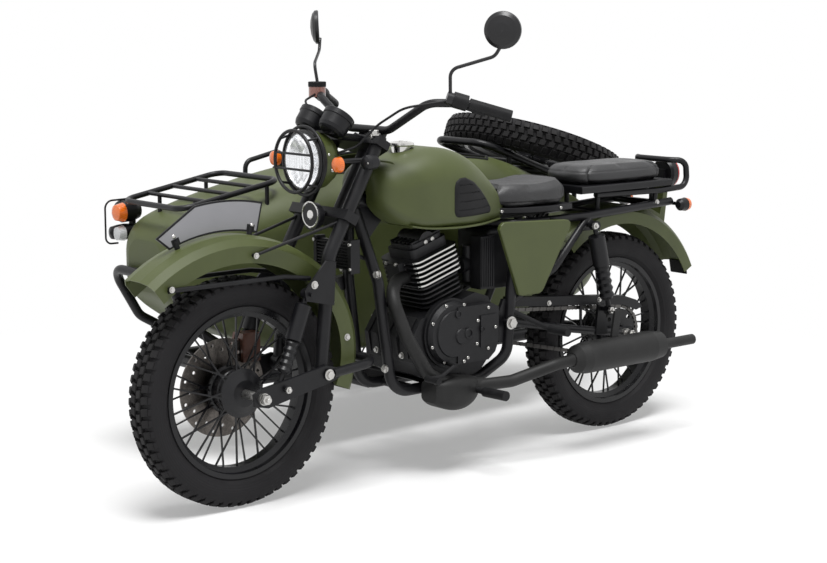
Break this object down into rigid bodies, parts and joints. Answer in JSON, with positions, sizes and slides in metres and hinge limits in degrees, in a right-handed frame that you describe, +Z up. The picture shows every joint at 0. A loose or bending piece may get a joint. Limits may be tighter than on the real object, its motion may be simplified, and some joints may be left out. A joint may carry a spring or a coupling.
{
  "type": "sidecar motorcycle",
  "caption": "Solo motorcycle with a leading link fork and a boat shaped passenger sidecar, spoked wheels, luggage rack and a spare wheel on a tail carrier.",
  "frame": {"origin": "on the floor in the middle of the machine's footprint", "axes": "the machine faces -Y, +X is its left, +Z is up, and the sidecar is at -X, its right"},
  "size_m": [1.5682, 2.3798, 1.3877],
  "materials": {
    "black_paint": "satin black",
    "green_paint": "matt olive green",
    "bright_steel": "bright steel",
    "cast_alloy": "dark coated casting",
    "seat_cover": "black seat cover",
    "tread_rubber": "matt rubber",
    "grip_rubber": "matt rubber",
    "clear_lens": "clear",
    "red_plastic": "red lamp",
    "dark_plastic": "dark moulded housing",
    "plate_grey": "grey with a black edge"
  },
  "bodies": {
    "chassis": {"frame": "black_paint", "engine_case": "cast_alloy", "engine_cylinder": "cast_alloy", "intake": "cast_alloy", "oil_cooler": "cast_alloy", "exhaust": "black_paint", "fuel_tank": "green_paint", "fuel_cap": "bright_steel", "rider_seat": "seat_cover", "seat_carriers": "black_paint", "pillion_seat": "seat_cover", "side_panels": "green_paint", "swingarm": "black_paint", "rear_axle": "bright_steel", "rear_shocks": "black_paint", "chain": "bright_steel", "chain_guard": "black_paint", "rear_fender": "green_paint", "rear_lamps": "red_plastic", "footpegs": "black_paint", "sidecar_struts": "black_paint", "sidecar_arm": "black_paint", "sidecar_axle": "bright_steel", "sidecar_body": "green_paint", "sidecar_seat": "seat_cover", "luggage_rack": "black_paint", "bumper": "black_paint", "grab_rail": "black_paint", "sidecar_fender": "green_paint", "sidecar_frame": "black_paint", "marker_lamp": "dark_plastic", "spare_tyre": "tread_rubber", "spare_rim": "black_paint", "spare_carrier": "black_paint"},
    "fork": {"fork_legs": "black_paint", "fork_yokes": "black_paint", "handlebar": "black_paint", "link_arm": "black_paint", "front_axle": "bright_steel", "front_shocks": "black_paint", "front_fender": "green_paint", "fender_stays": "black_paint", "number_plate": "plate_grey", "headlight": "green_paint", "headlight_lens": "clear_lens", "headlight_guard": "black_paint", "gauges": "dark_plastic", "front_signals": "dark_plastic", "handlebar_controls": "grip_rubber", "mirrors": "black_paint", "front_caliper": "black_paint"},
    "front_wheel": {"front_tyre": "tread_rubber", "front_rim": "black_paint", "front_disc": "bright_steel"},
    "rear_wheel": {"rear_tyre": "tread_rubber", "rear_rim": "black_paint"},
    "sidecar_wheel": {"sidecar_tyre": "tread_rubber", "sidecar_rim": "black_paint"}
  },
  "joints": [
    {"name": "steering", "type": "hinge", "parent": "chassis", "child": "fork", "pos_m": [0.3159, -0.37386, 0.983], "axis": [0, 0.5, 0.866], "range_deg": [-30, 30]},
    {"name": "front_wheel_spin", "type": "hinge", "parent": "fork", "child": "front_wheel", "pos_m": [0.3159, -0.86186, 0.328], "axis": [1, 0, 0], "continuous": true},
    {"name": "rear_wheel_spin", "type": "hinge", "parent": "chassis", "child": "rear_wheel", "pos_m": [0.3159, 0.63814, 0.328], "axis": [1, 0, 0], "continuous": true},
    {"name": "sidecar_wheel_spin", "type": "hinge", "parent": "chassis", "child": "sidecar_wheel", "pos_m": [-0.7041, 0.48814, 0.328], "axis": [1, 0, 0], "continuous": true}
  ]
}
